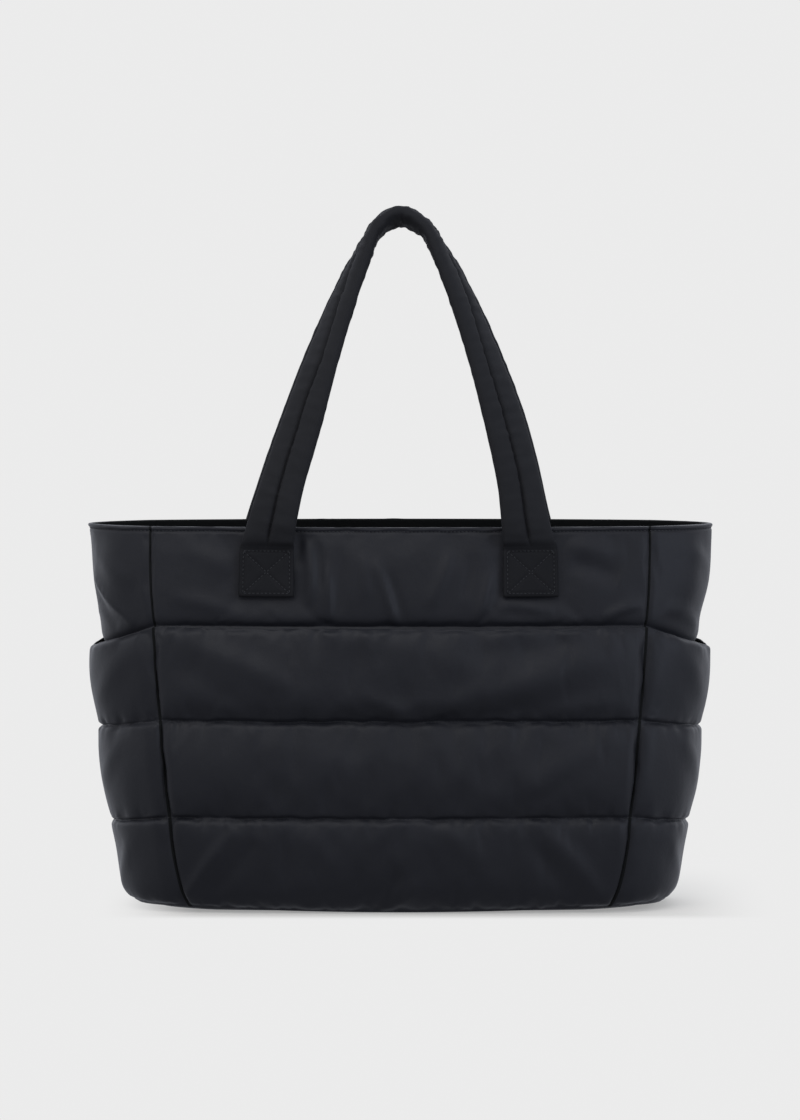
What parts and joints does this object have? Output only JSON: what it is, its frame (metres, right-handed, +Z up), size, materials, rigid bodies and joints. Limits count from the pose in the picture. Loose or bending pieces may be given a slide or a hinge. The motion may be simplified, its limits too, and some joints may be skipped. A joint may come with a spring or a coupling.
{
  "type": "tote bag",
  "caption": "Padded nylon shoulder tote that stands on its base, with an open top, a quilted slip pocket across the front, bottle pockets on its sides and padded handles.",
  "frame": {"origin": "on the floor under the middle of the bag", "axes": "+Z up, +X to the right as the front is seen, and the front faces -Y"},
  "size_m": [0.4894, 0.1728, 0.5472],
  "materials": {
    "shell_nylon": "black padded nylon with a soft satin sheen",
    "strap_nylon": "black padded nylon strap",
    "base_nylon": "plain black nylon"
  },
  "bodies": {
    "root": {"base_panel": "base_nylon", "front_panel": "shell_nylon", "back_panel": "shell_nylon", "side_panel_left": "shell_nylon", "side_panel_right": "shell_nylon", "front_pocket": "shell_nylon", "side_pocket_left": "shell_nylon", "side_pocket_right": "shell_nylon", "handle_front": "strap_nylon", "handle_back": "strap_nylon"}
  },
  "joints": []
}
